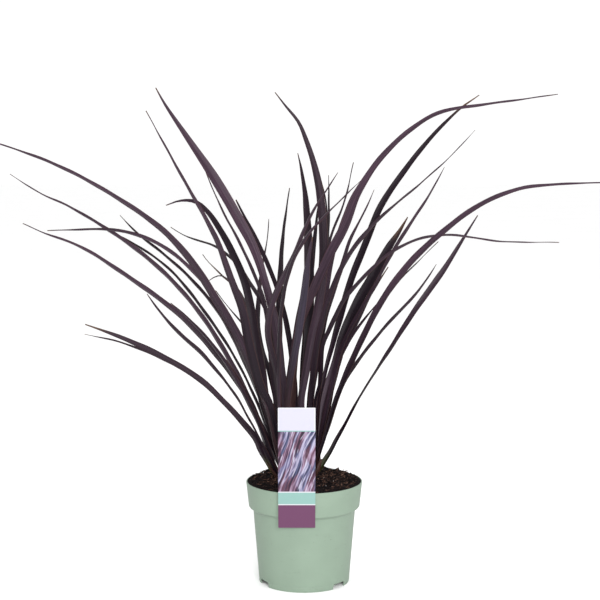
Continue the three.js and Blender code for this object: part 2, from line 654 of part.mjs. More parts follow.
function soilBlock() {
  const [, shoulder, rimFoot, rim] = wallAt(SOIL_WALL);
  const edge = mapLinear(SOIL_EDGE_HEIGHT, rimFoot[1], rim[1], rimFoot[0], rim[0]);
  const surface = Array.from({ length: SOIL_RINGS }, (_, i) =>
    [edge * (1 - (i / SOIL_RINGS) ** SOIL_RING_POWER), SOIL_EDGE_HEIGHT]);
  const outline = [...floorAt(GAP).reverse(), shoulder, rimFoot, ...surface, [0, SOIL_EDGE_HEIGHT]];
  const block = turned(outline, POT_SIDES);
  const place = block.attributes.position;
  for (let i = 0; i < place.count; i += 1) {
    const [x, y, z] = [place.getX(i), place.getY(i), place.getZ(i)];
    const level = smoothstep(Math.hypot(x, y), edge * SOIL_LEVEL_EDGE, edge);
    if (z > SOIL_EDGE_HEIGHT - GAP) place.setZ(i, z + soilRise(x, y) * (1 - level));
  }
  return solidOf(block);
}

// Slit for the tongue, open towards the wall
function tongueSlit() {
  const [back, front] = [-TONGUE_BACK + GAP, -RIM_RADIUS];
  const [low, high] = [TONGUE_FOOT_HEIGHT - GAP, HOLE_TOP];
  return solidOf(new THREE.BoxGeometry(TONGUE_WIDTH + 2 * GAP, back - front, high - low)
    .translate(LABEL_OFFSET, (back + front) / 2, (low + high) / 2));
}

let soil = soilBlock().subtract(tongueSlit());
for (const fan of FANS) soil = soil.subtract(sheathHole(fan));
addPiece("soil", geometryOf(soil), material(0x2b2019, 0.95));

export default part;
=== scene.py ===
import random
from math import atan2, cos, exp, hypot, pi, radians, sin, tau

import bmesh
import bpy
from mathutils import Matrix, Vector, noise
from mathutils.geometry import interpolate_bezier


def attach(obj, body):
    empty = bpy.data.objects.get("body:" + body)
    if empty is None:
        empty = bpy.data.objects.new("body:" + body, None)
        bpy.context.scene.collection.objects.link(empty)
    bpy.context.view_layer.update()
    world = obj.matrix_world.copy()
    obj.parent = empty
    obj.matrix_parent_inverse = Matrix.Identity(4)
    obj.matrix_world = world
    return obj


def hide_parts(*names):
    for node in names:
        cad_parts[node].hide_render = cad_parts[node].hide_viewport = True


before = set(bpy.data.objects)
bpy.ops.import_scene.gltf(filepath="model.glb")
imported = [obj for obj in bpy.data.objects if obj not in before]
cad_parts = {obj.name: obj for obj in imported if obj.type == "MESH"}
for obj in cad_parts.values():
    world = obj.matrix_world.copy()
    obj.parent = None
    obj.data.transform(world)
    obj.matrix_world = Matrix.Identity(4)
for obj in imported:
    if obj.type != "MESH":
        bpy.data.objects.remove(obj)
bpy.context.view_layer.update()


# The pot is one thin shell of sage green plastic, injection moulded. A deep rim band stands out
# over a hollow shoulder, the body tapers to the foot, and the floor is raised round its edge so
# that water runs out through three arches.
POT_HEIGHT = 0.114
POT_WALL = 0.0012
RIM_RADIUS = 0.065
RIM_EDGE = 0.0006
CORNER_ANGLE = radians(24)
pot_outline = [
    (0, 0), (0.0398, 0), (0.041, 0.007), (0.0499, 0.007), (0.0493, 0), (0.0501, 0),
    (0.0505, 0.0006), (0.05093, 0.0054), (0.05078, 0.0058), (0.051, 0.0062), (0.05725, 0.0828),
    (0.0578, 0.0842), (0.0612, 0.0853), (0.0622, 0.0866), (RIM_RADIUS, POT_HEIGHT - RIM_EDGE),
    (RIM_RADIUS - RIM_EDGE, POT_HEIGHT), (RIM_RADIUS - POT_WALL, POT_HEIGHT),
    (0.061, 0.086), (0.0558, 0.081), (0.05, 0.0086), (0.0398, 0.0086), (0.0386, 0.0016),
    (0, 0.0016),
]
NOTCH_WIDTH = 0.019
NOTCH_DEPTH = 0.010
NOTCH_HEIGHT = 0.006
NOTCH_ANGLES = (-152, -40, 86)
NOTCH_RADIUS = 0.0505
DRAIN_WIDTH = 0.012
DRAIN_DEPTH = 0.004
DRAIN_HEIGHT = 0.005
DRAIN_CORNER = 0.001
DRAIN_RADIUS = 0.0458
DRAIN_MIDDLE = 0.007
EDGE_ROUNDING = 0.00025
STEPS_ROUND_POT = 160


def turn_on_axis(outline, steps):
    """A closed shape turned round the pot's axis from points of radius and height"""
    shape = bmesh.new()
    corners = [shape.verts.new((radius, 0, height)) for radius, height in outline]
    for low, high in zip(corners, corners[1:]):
        shape.edges.new((low, high))
    bmesh.ops.spin(shape, geom=shape.verts[:] + shape.edges[:], cent=(0, 0, 0),
                   axis=(0, 0, 1), angle=tau, steps=steps, use_merge=True)
    bmesh.ops.remove_doubles(shape, verts=shape.verts, dist=1e-6)
    bmesh.ops.recalc_face_normals(shape, faces=shape.faces)
    return shape


def round_corners(shape, radius, sharper_than=CORNER_ANGLE):
    """Rounds every edge of a shape where its faces meet at a sharper angle"""
    corners = [edge for edge in shape.edges if edge.calc_face_angle(0) > sharper_than]
    bmesh.ops.bevel(shape, geom=corners, offset=radius, offset_type="OFFSET", segments=3,
                    profile=0.5, affect="EDGES", material=-1, clamp_overlap=True)


def add_piece(name, shape, *materials):
    """An object at the origin from a finished shape, smooth except at its sharp edges"""
    mesh = bpy.data.meshes.new(name)
    shape.to_mesh(mesh)
    shape.free()
    for material in materials:
        mesh.materials.append(material)
    mesh.shade_smooth()
    mesh.set_sharp_from_angle(angle=CORNER_ANGLE)
    piece = bpy.data.objects.new(name, mesh)
    bpy.context.collection.objects.link(piece)
    return piece


def cut_from(piece, width, depth, height, corner, place):
    """Cuts a block with round top corners out of a piece, at a place given by a matrix"""
    shape = bmesh.new()
    bmesh.ops.create_cube(shape, size=1)
    bmesh.ops.scale(shape, vec=(depth, width, height), verts=shape.verts)
    top = [edge for edge in shape.edges if all(end.co.z > 0 for end in edge.verts)
           and edge.verts[0].co.y * edge.verts[1].co.y > 0]
    bmesh.ops.bevel(shape, geom=top, offset=corner, offset_type="OFFSET", segments=6,
                    profile=0.5, affect="EDGES", material=-1)
    bmesh.ops.transform(shape, matrix=place, verts=shape.verts)
    cutter = add_piece("cutter", shape)
    cut = piece.modifiers.new("cut", "BOOLEAN")
    cut.operation, cut.solver, cut.object = "DIFFERENCE", "EXACT", cutter
    bpy.context.view_layer.update()
    finished = piece.evaluated_get(bpy.context.evaluated_depsgraph_get())
    whole, piece.data = piece.data, bpy.data.meshes.new_from_object(finished)
    piece.modifiers.clear()
    bpy.data.meshes.remove(whole)
    bpy.data.meshes.remove(cutter.data)


def new_material(name):
    material = bpy.data.materials.new(name)
    material.use_nodes = True
    return material


def add_node(material, kind, inputs, **settings):
    """A shader node with its settings made and its inputs set to values or joined to outputs"""
    node = material.node_tree.nodes.new(kind)
    for name, value in settings.items():
        setattr(node, name, value)
    for socket, value in inputs.items():
        if isinstance(value, bpy.types.NodeSocket):
            material.node_tree.links.new(value, node.inputs[socket])
        else:
            node.inputs[socket].default_value = value
    return node


def set_finish(material, **inputs):
    """Sets the surface shader's inputs to values or joins them to outputs of nodes"""
    surface = material.node_tree.nodes["Principled BSDF"]
    for name, value in inputs.items():
        socket = surface.inputs[name.replace("_", " ")]
        if isinstance(value, bpy.types.NodeSocket):
            material.node_tree.links.new(value, socket)
        else:
            socket.default_value = value


def opaque(colour):
    return (*colour, 1)


def mix(material, factor, first, second, how="MIX"):
    """A colour between two colours by a factor. Each may be a plain colour or an output"""
    first, second = (
        colour if isinstance(colour, bpy.types.NodeSocket) else opaque(colour)
        for colour in (first, second))
    node = add_node(material, "ShaderNodeMix", {0: factor, 6: first, 7: second},
                    data_type="RGBA", blend_type=how)
    return node.outputs[2]


def ramp(material, factor, *stops, steps=False):
    """A colour that runs through stops of position and colour, or changes in steps"""
    node = add_node(material, "ShaderNodeValToRGB", {"Fac": factor})
    node.color_ramp.interpolation = "CONSTANT" if steps else "LINEAR"
    points = node.color_ramp.elements
    while len(points) < len(stops):
        points.new(1)
    for point, (position, colour) in zip(points, stops):
        point.position, point.color = position, opaque(colour)
    return node.outputs["Color"]


def spread(material, value, low, high, to_low=0.0, to_high=1.0):
    """A number moved from one range to another, and kept in it"""
    node = add_node(material, "ShaderNodeMapRange", {
        "Value": value, "From Min": low, "From Max": high,
        "To Min": to_low, "To Max": to_high})
    return node.outputs["Result"]


def speckle(material, place, scale, detail=3.0, roughness=0.5, stretch=(1, 1, 1)):
    """A cloudy pattern from 0 to 1 of a size set by its scale, drawn out by a stretch"""
    drawn = add_node(material, "ShaderNodeMapping", {"Vector": place, "Scale": stretch})
    node = add_node(material, "ShaderNodeTexNoise", {
        "Vector": drawn.outputs["Vector"], "Scale": scale, "Detail": detail,
        "Roughness": roughness})
    return node.outputs["Fac"]


def relief(material, height, strength, distance):
    """A fine relief of the surface"""
    node = add_node(material, "ShaderNodeBump", {
        "Height": height, "Strength": strength, "Distance": distance})
    return node.outputs["Normal"]


def object_place(material):
    return add_node(material, "ShaderNodeTexCoord", {}).outputs["Object"]


SAGE = (0.186, 0.245, 0.191)
sage_plastic = new_material("sage_plastic")
place = object_place(sage_plastic)
clouds = speckle(sage_plastic, place, 38, detail=4)
tint = mix(sage_plastic, spread(sage_plastic, clouds, 0.35, 0.7),
           [0.965 * part for part in SAGE], [1.03 * part for part in SAGE])
rubs = speckle(sage_plastic, place, 110, detail=3, stretch=(0.5, 0.5, 1.6))
scuffs = add_node(sage_plastic, "ShaderNodeMath", {
    0: spread(sage_plastic, rubs, 0.60, 0.68),
    1: spread(sage_plastic, speckle(sage_plastic, place, 1300, detail=2), 0.55, 0.70, 0, 0.5)},
    operation="MULTIPLY")
tint = mix(sage_plastic, scuffs.outputs["Value"], tint, (0.096, 0.113, 0.090))
specks = spread(sage_plastic, speckle(sage_plastic, place, 520, detail=1), 0.765, 0.79, 0, 0.7)
tint = mix(sage_plastic, specks, tint, (0.067, 0.059, 0.049))
grain = speckle(sage_plastic, place, 2600, detail=2)
set_finish(sage_plastic, Base_Color=tint,
           Roughness=spread(sage_plastic, clouds, 0.3, 0.7, 0.46, 0.56),
           Specular_IOR_Level=0.18,
           Normal=relief(sage_plastic, grain, 0.12, 0.0002))

pot_shape = turn_on_axis(pot_outline, STEPS_ROUND_POT)
round_corners(pot_shape, EDGE_ROUNDING)
pot = add_piece("nursery_pot", pot_shape, sage_plastic)
for degrees in NOTCH_ANGLES:
    turned = Matrix.Rotation(radians(degrees), 4, "Z")
    cut_from(pot, NOTCH_WIDTH, NOTCH_DEPTH, 2 * NOTCH_HEIGHT, NOTCH_HEIGHT / 2,
             turned @ Matrix.Translation((NOTCH_RADIUS, 0, 0)))
    cut_from(pot, DRAIN_WIDTH, DRAIN_DEPTH, DRAIN_HEIGHT, DRAIN_CORNER,
             turned @ Matrix.Translation((DRAIN_RADIUS, 0, DRAIN_MIDDLE)))
pot.data.shade_smooth()
pot.data.set_sharp_from_angle(angle=CORNER_ANGLE)
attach(pot, "root")
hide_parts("pot")


# The compost is moist peat with bark, brown fibres and a few white grains of perlite. It fills
# the pot to just over the rim, heaped by hand, and hides the inside of the wall.
COMPOST_EDGE = 0.1134
COMPOST_RADIUS = 0.0634
HEAP_RISE = 0.0036
HEAP_POWER = 16
LEVEL_FROM = 0.94
CLOD_SCALE = 160
CLOD_HEIGHT = 0.0014
SETTLED = 0.0006
TOP_RINGS = 44
TOP_RING_POWER = 1.3
STEPS_ROUND_COMPOST = 150
HANDFUL = 40
LARGE_LUMP = 0.0022
LUMP_RELIEF, LUMP_SCALE = 0.55, 900
CHIP_RELIEF, CHIP_SCALE = 0.0005, 700
PEAT, BROWN, WHITE = 0, 1, 2
# Waves of the surface: height in metres, and turns in radians per metre across and back
LUMPS = ((0.0005, 230, 390), (0.0005, 390, -150), (0.0003, 630, 130), (0.0003, 630, -1010))


def compost_top(x, y):
    """Height of the heaped compost at a place, with its lumps"""
    share = min(1, hypot(x, y) / COMPOST_RADIUS)
    level = min(1, max(0, (share - LEVEL_FROM) / (1 - LEVEL_FROM)))
    heap = HEAP_RISE * (1 - share ** HEAP_POWER)
    heap += sum(height * sin(x * across + y * back) for height, across, back in LUMPS)
    clod = noise.fractal(Vector((x, y, 0)) * CLOD_SCALE, 0.8, 2.2, 4)
    return COMPOST_EDGE + (heap - SETTLED + CLOD_HEIGHT * clod) * (1 - level * level)


peat = new_material("peat")
place = object_place(peat)
clods = speckle(peat, place, 190, detail=6, roughness=0.65)
crumb = speckle(peat, place, 900, detail=4, roughness=0.7)
colour = ramp(peat, clods, (0.34, (0.0010, 0.0007, 0.0010)), (0.5, (0.0034, 0.0021, 0.0024)),
              (0.62, (0.009, 0.0046, 0.0040)), (0.74, (0.0028, 0.0018, 0.0020)))
colour = mix(peat, spread(peat, crumb, 0.56, 0.80), colour, (0.021, 0.0108, 0.0090))
set_finish(peat, Base_Color=colour, Roughness=0.95, Specular_IOR_Level=0.10,
           Normal=relief(peat, crumb, 0.9, 0.0011))

brown_fibre = new_material("brown_fibre")
shade = speckle(brown_fibre, object_place(brown_fibre), 260, detail=3)
set_finish(brown_fibre, Roughness=0.85, Specular_IOR_Level=0.15,
           Base_Color=ramp(brown_fibre, shade, (0.35, (0.014, 0.0068, 0.0055)),
                           (0.5, (0.044, 0.021, 0.015)), (0.66, (0.135, 0.075, 0.052))))

perlite = new_material("perlite")
pits = speckle(perlite, object_place(perlite), 1900, detail=3)
set_finish(perlite, Base_Color=ramp(perlite, pits, (0.35, (0.42, 0.41, 0.40)),
                                    (0.6, (0.78, 0.78, 0.77))),
           Roughness=0.8, Normal=relief(perlite, pits, 0.5, 0.0004))

compost_outline = [(0, 0.00195), (0.03825, 0.00195), (0.03945, 0.00895), (0.0496, 0.00895),
                   (0.05545, 0.081), (0.06065, 0.086), (COMPOST_RADIUS, COMPOST_EDGE)]
compost_outline += [
    (COMPOST_RADIUS * (1 - (step / TOP_RINGS) ** TOP_RING_POWER), COMPOST_EDGE)
    for step in range(1, TOP_RINGS + 1)]
compost = turn_on_axis(compost_outline, STEPS_ROUND_COMPOST)
for vert in compost.verts:
    if vert.co.z > COMPOST_EDGE - 0.0001:
        vert.co.z = compost_top(vert.co.x, vert.co.y)

draw = random.Random(7)


def random_turn():
    return Matrix.Rotation(draw.uniform(0, tau), 4, Vector((draw.gauss(0, 1), draw.gauss(0, 1),
                                                            draw.gauss(0, 1))).normalized())


def random_spot(reach):
    """A spot on the compost, spread evenly within a radius"""
    radius, angle = reach * draw.random() ** 0.5, draw.uniform(0, tau)
    x, y = radius * cos(angle), radius * sin(angle)
    return Vector((x, y, compost_top(x, y)))


def scatter(count, make, material_index):
    """Many small bits in the surface of the compost, made and mixed in a handful at a time"""
    for start in range(0, count, HANDFUL):
        handful = bmesh.new()
        for _ in range(min(HANDFUL, count - start)):
            make(handful)
        for face in handful.faces:
            face.material_index = material_index
        loose = bpy.data.meshes.new("loose")
        handful.to_mesh(loose)
        handful.free()
        compost.from_mesh(loose)
        bpy.data.meshes.remove(loose)


def lump(smallest, largest, roundness):
    """Makes lumps of a range of sizes, most of them small"""
    def make(handful):
        size = smallest + (largest - smallest) * draw.random() ** 3
        spot = random_spot(COMPOST_RADIUS - 0.8 * size)
        squash = Matrix.Diagonal((draw.uniform(roundness, 1), draw.uniform(roundness, 1),
                                  draw.uniform(roundness, 1), 1))
        ball = bmesh.ops.create_icosphere(
            handful, subdivisions=2 if size > LARGE_LUMP else 1, radius=size,
            matrix=Matrix.Translation(spot) @ random_turn() @ squash)
        for vert in ball["verts"]:
            vert.co = spot + (vert.co - spot) * (
                1 + LUMP_RELIEF * noise.noise(vert.co * LUMP_SCALE))
    return make


def chip(longest):
    """Makes flat splinters of bark, blunt at the ends, that lie at any turn"""
    def make(handful):
        length = longest * draw.uniform(0.3, 1)
        spot = random_spot(COMPOST_RADIUS - 0.5 * length) + Vector((0, 0, 0.0003))
        lie = (Matrix.Rotation(draw.uniform(0, tau), 4, "Z")
               @ Matrix.Rotation(draw.gauss(0, 0.35), 4, "X")
               @ Matrix.Rotation(draw.gauss(0, 0.35), 4, "Y"))
        size = Matrix.Diagonal((0.5 * length, draw.uniform(0.0005, 0.0011),
                                draw.uniform(0.0002, 0.0005), 1))
        splinter = bmesh.ops.create_icosphere(
            handful, subdivisions=1, radius=1, matrix=Matrix.Translation(spot) @ lie @ size)
        for vert in splinter["verts"]:
            vert.co += CHIP_RELIEF * noise.noise_vector(vert.co * CHIP_SCALE)
    return make


def fibre(longest):
    """Makes short fibres and shreds of bark that lie at any turn"""
    def make(handful):
        length = longest * draw.uniform(0.25, 1)
        thickness = draw.uniform(0.00016, 0.0004)
        spot = random_spot(COMPOST_RADIUS - 0.45 * length) + Vector((0, 0, 0.0004))
        lie = (Matrix.Rotation(draw.uniform(0, tau), 4, "Z")
               @ Matrix.Rotation(pi / 2 + draw.gauss(0, 0.28), 4, "Y"))
        bmesh.ops.create_cone(
            handful, cap_ends=True, segments=5, radius1=thickness, radius2=0.4 * thickness,
            depth=length, matrix=Matrix.Translation(spot) @ lie)
    return make


scatter(1300, lump(0.0006, 0.0027, 0.5), PEAT)
scatter(260, chip(0.0085), PEAT)
scatter(170, chip(0.0065), BROWN)
scatter(560, fibre(0.0125), BROWN)
scatter(18, lump(0.0008, 0.0013, 0.75), WHITE)
soil = add_piece("compost", compost, peat, brown_fibre, perlite)
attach(soil, "root")
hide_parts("soil")


# The plant is a clump of shoots. Each shoot is a fan of long strap leaves that clasp each other
# at the foot, folded along the midrib, and open out flat as they arch over. The leaves are tough,
# dull red-black to plum, with fine lengthwise veins, thin russet margins and dry brown tips.
EYE = Vector((0, -1.575, 0.480))
LEAF_ROOT_HEIGHT = 118
SHEATH_BEND = 113
SHEATH_NECK = 125
SHEATH_TOP = 135
FOOT_IN_COMPOST = 104
# The core of a sheath, in millimetres: half its width and depth, and its share of them by height
CORE_HALF_WIDTH = 5.6
CORE_HALF_DEPTH = 4.6
CORE_STAGES = ((FOOT_IN_COMPOST, 0.6), (SHEATH_BEND, 0.72), (SHEATH_NECK, 0.6),
               (SHEATH_TOP, 0.2))
CORE_SEGMENTS = 18
CORE_GREEN = 0.15
STEP_ALONG_LEAF = 0.0065
STRIPS_ACROSS_LEAF = 8
DEPTH_POWER = 1.3
ROOT_FOLD = 42
BLADE_FOLD = 14
FOLD_OPEN_SHARE = 0.4
# The blade's section: half its thickness at the midrib, what that loses toward the margin, the
# keel under the midrib and the waves of the margin are in metres. Waves turn in radians for each
# metre of leaf. The keel's width and the roundness of the crease count half the blade as 1.
SKIN = 0.00034
SKIN_LOSS = 0.00018
THIN_SKIN_BELOW = 0.002
KEEL = 0.0003
KEEL_WIDTH = 0.13
THIN_KEEL_BELOW = 0.003
WAVE = 0.00022
WAVE_TURNS = 170
WAVE_SHIFT = 40
OTHER_SIDE_SHIFT = 1.7
CREASE = 0.02
GREEN_FROM, GREEN_TO = 0.006, 0.030
# How far the pattern of the veins moves from one leaf to the next, and for each millimetre that
# a shoot's foot stands aside
SHIFT_PER_LEAF = 0.61
SHIFT_PER_FOOT = 0.137
POINTS_PER_STRETCH = 16
INK = Vector((0.0052, 0.0017, 0.0050))
SOOT = Vector((0.0080, 0.0037, 0.0074))
SHADE = Vector((0.0112, 0.0058, 0.0100))
WINE = Vector((0.0172, 0.0098, 0.0156))
MAUVE = Vector((0.0242, 0.0151, 0.0223))
PLUM = Vector((0.0337, 0.0210, 0.0311))
DUSK = Vector((0.0437, 0.0272, 0.0403))
RUSSET = Vector((0.0235, 0.0105, 0.0098))
# The next tone is a painted highlight: a blue-grey sheen of reflected light painted into the leaf's
# colour, not a colour the leaf has
PAINTED_SHEEN = Vector((0.0215, 0.0185, 0.0290))
OLIVE = (0.060, 0.076, 0.014)

flax_leaf = new_material("flax_leaf")
uv = add_node(flax_leaf, "ShaderNodeUVMap", {}, uv_map="blade").outputs["UV"]
across = add_node(flax_leaf, "ShaderNodeSeparateXYZ", {"Vector": uv}).outputs["X"]
tone = add_node(flax_leaf, "ShaderNodeAttribute", {}, attribute_name="tone")
age = add_node(flax_leaf, "ShaderNodeAttribute", {}, attribute_name="age")
age = add_node(flax_leaf, "ShaderNodeSeparateXYZ", {"Vector": age.outputs["Vector"]})
streaks = speckle(flax_leaf, uv, 1, detail=5, roughness=0.6, stretch=(9, 16, 1))
veins = speckle(flax_leaf, uv, 1, detail=2, stretch=(46, 5, 1))
blotches = speckle(flax_leaf, uv, 1, detail=4, stretch=(2.2, 42, 1))
colour = mix(flax_leaf, 1.0, tone.outputs["Color"],
             ramp(flax_leaf, streaks, (0.3, (0.50, 0.42, 0.48)), (0.5, (1, 0.87, 0.97)),
                  (0.72, (1.72, 1.44, 1.52))), how="MULTIPLY")
colour = mix(flax_leaf, 1.0, colour, ramp(flax_leaf, veins, (0.35, (0.78, 0.78, 0.78)),
                                          (0.65, (1.18, 1.15, 1.15))), how="MULTIPLY")
fresh = add_node(flax_leaf, "ShaderNodeMath", {0: age.outputs["Y"],
                 1: spread(flax_leaf, streaks, 0.3, 0.6, 0.55, 1.0)}, operation="MULTIPLY")
colour = mix(flax_leaf, fresh.outputs["Value"], colour, OLIVE)
margin = add_node(flax_leaf, "ShaderNodeMath", {0: across, 1: 0.5}, operation="SUBTRACT")
margin = add_node(flax_leaf, "ShaderNodeMath", {0: margin.outputs["Value"]},
                  operation="ABSOLUTE")
margin = spread(flax_leaf, margin.outputs["Value"], 0.455, 0.49, 0.0, 0.75)
colour = mix(flax_leaf, margin, colour, (0.044, 0.016, 0.012))
dry = add_node(flax_leaf, "ShaderNodeMath", {0: age.outputs["X"],
               1: spread(flax_leaf, blotches, 0.35, 0.65, 0.4, 1.4)},
               operation="MULTIPLY", use_clamp=True)
colour = mix(flax_leaf, dry.outputs["Value"], colour,
             ramp(flax_leaf, blotches, (0.35, (0.030, 0.015, 0.011)),
                  (0.65, (0.090, 0.050, 0.030))))
set_finish(flax_leaf, Base_Color=colour,
           Roughness=spread(flax_leaf, streaks, 0.3, 0.7, 0.38, 0.52),
           Specular_IOR_Level=0.15,
           Normal=relief(flax_leaf, veins, 0.35, 0.0003))


def leaf(name, tones, turn, tip_depth, width, course, dry=0.03, green=0.0):
    """One leaf of a shoot, in millimetres. The course is what a viewer in front sees of it, on
    the plane through the middle of the pot. Tones, widths and turns stand at even steps from
    root to tip. A turn is how far the leaf's face looks away from that viewer, in degrees."""
    return dict(name=name, tones=tones, turn=turn, tip_depth=tip_depth, width=width,
                course=course, dry=dry, green=green)


def ease(value, start, end):
    share = min(1, max(0, (value - start) / (end - start)))
    return share * share * (3 - 2 * share)


def at_share(values, share):
    """The value at a share of a leaf's length, from values at even steps from root to tip"""
    place = share * (len(values) - 1)
    before = int(place)
    after = min(before + 1, len(values) - 1)
    return values[before] + (values[after] - values[before]) * (place - before)


def leaf_stops(foot, lean, shape):
    """The places in metres that a leaf passes, from in the compost to its tip"""
    rise = (LEAF_ROOT_HEIGHT - SHEATH_BEND) / (SHEATH_TOP - SHEATH_BEND)
    root = Vector((foot[0] + lean[0] * rise, foot[1] + lean[1] * rise, LEAF_ROOT_HEIGHT)) / 1000
    seen = [Vector((root.x, root.z))] + [Vector(point) / 1000 for point in shape["course"]]
    run = [0]
    for before, after in zip(seen, seen[1:]):
        run.append(run[-1] + (after - before).length)
    stops = [Vector((foot[0], foot[1], FOOT_IN_COMPOST)) / 1000, root]
    for point, so_far in list(zip(seen, run))[1:]:
        depth = root.y + (shape["tip_depth"] / 1000 - root.y) * (so_far / run[-1]) ** DEPTH_POWER
        stretch = (depth - EYE.y) / -EYE.y
        stops.append(Vector((point.x * stretch, depth, EYE.z + (point.y - EYE.z) * stretch)))
    return stops


def smooth_route(stops):
    """Close points on a smooth curve through the stops"""
    stops = [2 * stops[0] - stops[1], *stops, 2 * stops[-1] - stops[-2]]
    route = [stops[1]]
    for before, start, end, after in zip(stops, stops[1:], stops[2:], stops[3:]):
        gaps = [(b - a).length ** 0.5 for a, b in ((before, start), (start, end), (end, after))]
        leave = ((start - before) / gaps[0] - (end - before) / (gaps[0] + gaps[1])
                 + (end - start) / gaps[1]) * gaps[1]
        arrive = ((end - start) / gaps[1] - (after - start) / (gaps[1] + gaps[2])
                  + (after - end) / gaps[2]) * gaps[1]
        route += interpolate_bezier(start, start + leave / 3, end - arrive / 3, end,
                                    POINTS_PER_STRETCH)[1:]
    return route


def even_steps(route, spacing):
    """Points at even steps along a route, with the length of the route up to each"""
    lengths = [0]
    for before, after in zip(route, route[1:]):
        lengths.append(lengths[-1] + (after - before).length)
    count = round(lengths[-1] / spacing)
    points, at = [], 0
    for step in range(count + 1):
        reach = lengths[-1] * step / count
        while at < len(route) - 2 and lengths[at + 1] < reach:
            at += 1
        share = (reach - lengths[at]) / (lengths[at + 1] - lengths[at])
        points.append((reach, route[at].lerp(route[at + 1], min(1, share))))
    return points


def leaf_frames(stops, turns):
    """Where a blade lies along its route: share and length from the root, point, side and face"""
    points = even_steps(smooth_route(stops), STEP_ALONG_LEAF)
    buried = (stops[1] - stops[0]).length
    frames = []
    for step, (reach, point) in enumerate(points):
        ahead = points[min(step + 1, len(points) - 1)][1] - points[max(step - 1, 0)][1]
        along = max(0, (reach - buried) / (points[-1][0] - buried))
        side = ahead.cross(point - EYE).normalized()
        toward = side.cross(ahead.normalized())
        turn = radians(at_share(turns, along))
        side = side * cos(turn) + toward * sin(turn)
        frames.append((along, reach - buried, point, side, side.cross(ahead.normalized())))
    if frames[len(frames) // 2][4].z < 0:
        frames = [(along, reach, point, -side, -face)
                  for along, reach, point, side, face in frames]
    return frames


def grow_leaf(shoot, stops, shape, shift):
    """Bends a flat strip of mesh into one leaf, folded at the midrib, and marks its age"""
    frames = leaf_frames(stops, shape["turn"])
    strip = bmesh.ops.create_grid(shoot, x_segments=STRIPS_ACROSS_LEAF,
                                  y_segments=len(frames) - 1, size=1)["verts"]
    faces = list({face for vert in strip for face in vert.link_faces})
    skin = bmesh.ops.solidify(shoot, geom=faces, thickness=1)["geom"]
    strip += [part for part in skin if isinstance(part, bmesh.types.BMVert)]
    strip = list(dict.fromkeys(strip))
    under = min(vert.co.z for vert in strip)
    uv, tone, age = (shoot.loops.layers.uv["blade"], shoot.verts.layers.float_color["tone"],
                     shoot.verts.layers.float_vector["age"])

    def row(vert):
        return frames[round((vert.co.y + 1) / 2 * (len(frames) - 1))]

    for vert in strip:
        for corner in vert.link_loops:
            corner[uv].uv = ((vert.co.x + 1) / 2, row(vert)[1] + shift)
    for vert in strip:
        along, reach, point, side, face = row(vert)
        x, lower = vert.co.x, vert.co.z < under + 0.5
        half = at_share(shape["width"], along) / 2000
        fold = radians(ROOT_FOLD + (BLADE_FOLD - ROOT_FOLD) * ease(along, 0, FOLD_OPEN_SHARE))
        crease = (x * x + CREASE) ** 0.5 - CREASE ** 0.5
        phase = reach * WAVE_TURNS + shift * WAVE_SHIFT + (OTHER_SIDE_SHIFT if x > 0 else 0)
        wave = WAVE * abs(x) * sin(phase)
        thickness = (SKIN - SKIN_LOSS * abs(x)) * min(1, half / THIN_SKIN_BELOW)
        keel = KEEL * exp(-(x / KEEL_WIDTH) ** 2) * min(1, half / THIN_KEEL_BELOW)
        lift = sin(fold) * half * crease + wave + (-thickness - keel if lower else thickness)
        vert.co = point + side * (cos(fold) * half * x) + face * lift
        vert[tone] = opaque(at_share(shape["tones"], along))
        vert[age] = (ease(along, 1 - 2 * shape["dry"], 1 - 0.4 * shape["dry"]),
                     shape["green"] * (1 - ease(reach, GREEN_FROM, GREEN_TO)), 0)


def grow_core(shoot, foot, lean, girth):
    """The rolled young leaves in the middle of the sheath, which the outer leaves clasp"""
    uv, tone, age = (shoot.loops.layers.uv["blade"], shoot.verts.layers.float_color["tone"],
                     shoot.verts.layers.float_vector["age"])
    verts = bmesh.ops.create_circle(shoot, cap_ends=True, segments=CORE_SEGMENTS,
                                    radius=1)["verts"]
    core, cap = set(verts), verts[0].link_faces[0]
    rim = [(vert, vert.co.copy()) for vert in verts]
    for height, share in CORE_STAGES:
        lean_share = max(0, (height - SHEATH_BEND) / (SHEATH_TOP - SHEATH_BEND))
        middle = Vector((foot[0] + lean[0] * lean_share, foot[1] + lean[1] * lean_share, height))
        if height > FOOT_IN_COMPOST:
            grown = bmesh.ops.extrude_face_region(shoot, geom=[cap])["geom"]
            if height > SHEATH_BEND:
                bmesh.ops.delete(shoot, geom=[cap], context="FACES_ONLY")
            cap = next(part for part in grown if isinstance(part, bmesh.types.BMFace))
            rim = [(vert, vert.co.copy()) for vert in cap.verts]
            core |= set(cap.verts)
        centre = sum((at for _, at in rim), Vector()) / len(rim)
        widest = max((at - centre).x for _, at in rim)
        deepest = max((at - centre).y for _, at in rim)
        for vert, at in rim:
            vert.co = (middle + Vector((
                (at - centre).x / widest * CORE_HALF_WIDTH * share * girth,
                (at - centre).y / deepest * CORE_HALF_DEPTH * share, 0))) / 1000
    for vert in core:
        vert[tone], vert[age] = opaque(SOOT), (0, CORE_GREEN, 0)
        for corner in vert.link_loops:
            corner[uv].uv = (vert.co.x * 100, vert.co.z)
    bmesh.ops.recalc_face_normals(
        shoot, faces=list({face for vert in core for face in vert.link_faces}))


def grow_shoot(name, node, foot, lean, leaves, girth=1):
    """One shoot in one piece, which stands for one node"""
    shoot = bmesh.new()
    shoot.loops.layers.uv.new("blade")
    shoot.verts.layers.float_color.new("tone")
    shoot.verts.layers.float_vector.new("age")
    grow_core(shoot, foot, lean, girth)
    for number, shape in enumerate(leaves):
        shift = SHIFT_PER_LEAF * number + SHIFT_PER_FOOT * foot[0]
        grow_leaf(shoot, leaf_stops(foot, lean, shape), shape, shift)
    piece = add_piece(name, shoot, flax_leaf)
    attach(piece, "root")
    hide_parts(node)


